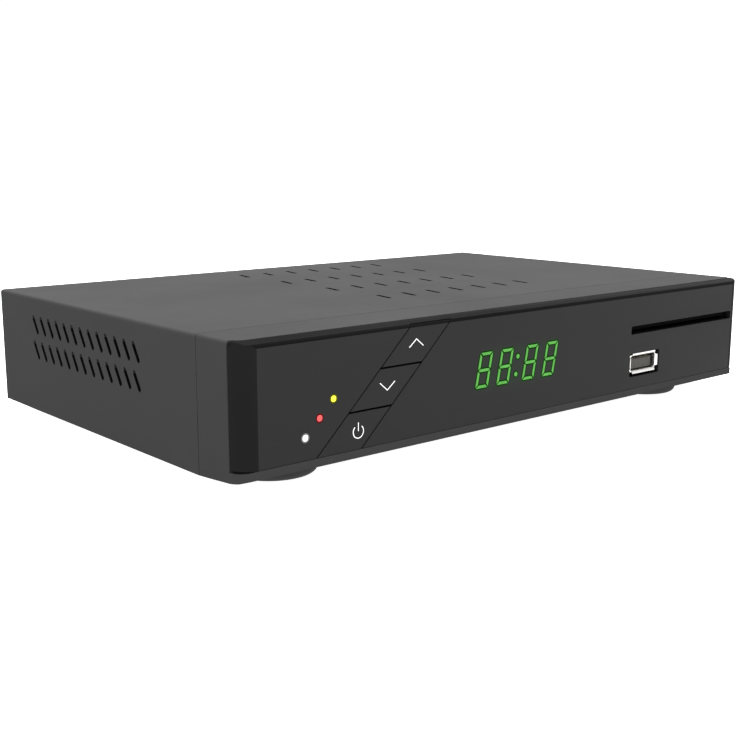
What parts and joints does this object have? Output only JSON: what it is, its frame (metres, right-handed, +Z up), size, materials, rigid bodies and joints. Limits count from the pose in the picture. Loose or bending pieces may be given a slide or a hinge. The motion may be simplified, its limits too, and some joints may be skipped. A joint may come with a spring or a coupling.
{
  "type": "television recorder set-top box",
  "caption": "Low set-top recorder: folded steel cover with slanted vents, black fascia, slanting push buttons, clock display, card slot, front socket and rear sockets.",
  "frame": {"origin": "middle of the bounding box on the surface that the feet stand on", "axes": "+Z up, the front fascia faces -Y, +X to the right seen from the front"},
  "size_m": [0.22, 0.151, 0.0415],
  "materials": {
    "grey_paint": "fine matt powder coat",
    "grey_plastic": "fine moulded texture",
    "black_fascia": "satin front with polished edges",
    "foot_rubber": "matt",
    "plain_steel": "zinc plated sheet",
    "bright_nickel": "nickel plated",
    "bare_aluminium": "satin",
    "dark_plastic": "moulded",
    "green_board": "solder mask",
    "cable_grey": "flexible cable sleeve",
    "capacitor_sleeve": "shrink sleeve",
    "winding_tape": "yellow tape",
    "red_lens": "lit lens",
    "yellow_lens": "lit lens",
    "white_lens": "lit lens",
    "display_face": "segment display behind the dark fascia"
  },
  "bodies": {
    "case": {"top_cover": "grey_paint", "base_chassis": "plain_steel", "rear_panel": "grey_paint", "front_bezel": "grey_plastic", "front_fascia": "black_fascia", "foot_front_left": "foot_rubber", "foot_front_right": "foot_rubber", "foot_rear_left": "foot_rubber", "foot_rear_right": "foot_rubber", "foot_screw_front_left": "plain_steel", "foot_screw_front_right": "plain_steel", "foot_screw_rear_left": "plain_steel", "foot_screw_rear_right": "plain_steel", "cover_screw_left": "plain_steel", "cover_screw_middle": "plain_steel", "cover_screw_right": "plain_steel", "main_board_screw_1": "plain_steel", "main_board_screw_2": "plain_steel", "main_board_screw_3": "plain_steel", "main_board_screw_4": "plain_steel", "power_switch": "dark_plastic", "down_switch": "dark_plastic", "up_switch": "dark_plastic", "yellow_light_pipe": "yellow_lens", "red_light_pipe": "red_lens", "white_light_pipe": "white_lens", "display_module": "display_face", "infrared_receiver": "dark_plastic", "front_usb_shell": "bright_nickel", "front_usb_tongue": "dark_plastic", "card_reader": "dark_plastic", "card_reader_bracket": "plain_steel", "front_circuit_board": "green_board", "main_circuit_board": "green_board", "processor": "dark_plastic", "processor_heatsink": "bare_aluminium", "power_board": "green_board", "transformer": "winding_tape", "mains_capacitor": "capacitor_sleeve", "output_capacitor": "capacitor_sleeve", "tuner_can": "bright_nickel", "aerial_socket": "bright_nickel", "aerial_loop_socket": "bright_nickel", "network_socket": "bright_nickel", "video_socket": "bright_nickel", "audio_video_sockets": "dark_plastic", "mains_inlet": "dark_plastic", "rocker_housing": "dark_plastic", "hard_drive": "bare_aluminium", "drive_bracket": "plain_steel", "drive_cable": "cable_grey", "front_cable": "cable_grey", "power_cable": "cable_grey"},
    "power_key": {"power_button": "black_fascia", "power_switch_plunger": "dark_plastic"},
    "down_key": {"down_button": "black_fascia", "down_switch_plunger": "dark_plastic"},
    "up_key": {"up_button": "black_fascia", "up_switch_plunger": "dark_plastic"},
    "rocker": {"power_rocker": "dark_plastic"}
  },
  "joints": [
    {"name": "power_press", "type": "slide", "parent": "case", "child": "power_key", "axis": [0, 1, 0], "range_m": [0, 0.0006], "stiffness_N_per_m": 500, "springref_m": -0.0005},
    {"name": "down_press", "type": "slide", "parent": "case", "child": "down_key", "axis": [0, 1, 0], "range_m": [0, 0.0006], "stiffness_N_per_m": 500, "springref_m": -0.0005},
    {"name": "up_press", "type": "slide", "parent": "case", "child": "up_key", "axis": [0, 1, 0], "range_m": [0, 0.0006], "stiffness_N_per_m": 500, "springref_m": -0.0005},
    {"name": "rocker_tip", "type": "hinge", "parent": "case", "child": "rocker", "pos_m": [-0.062, 0.06405, 0.0212], "axis": [1, 0, 0], "range_deg": [-14, 0]}
  ]
}
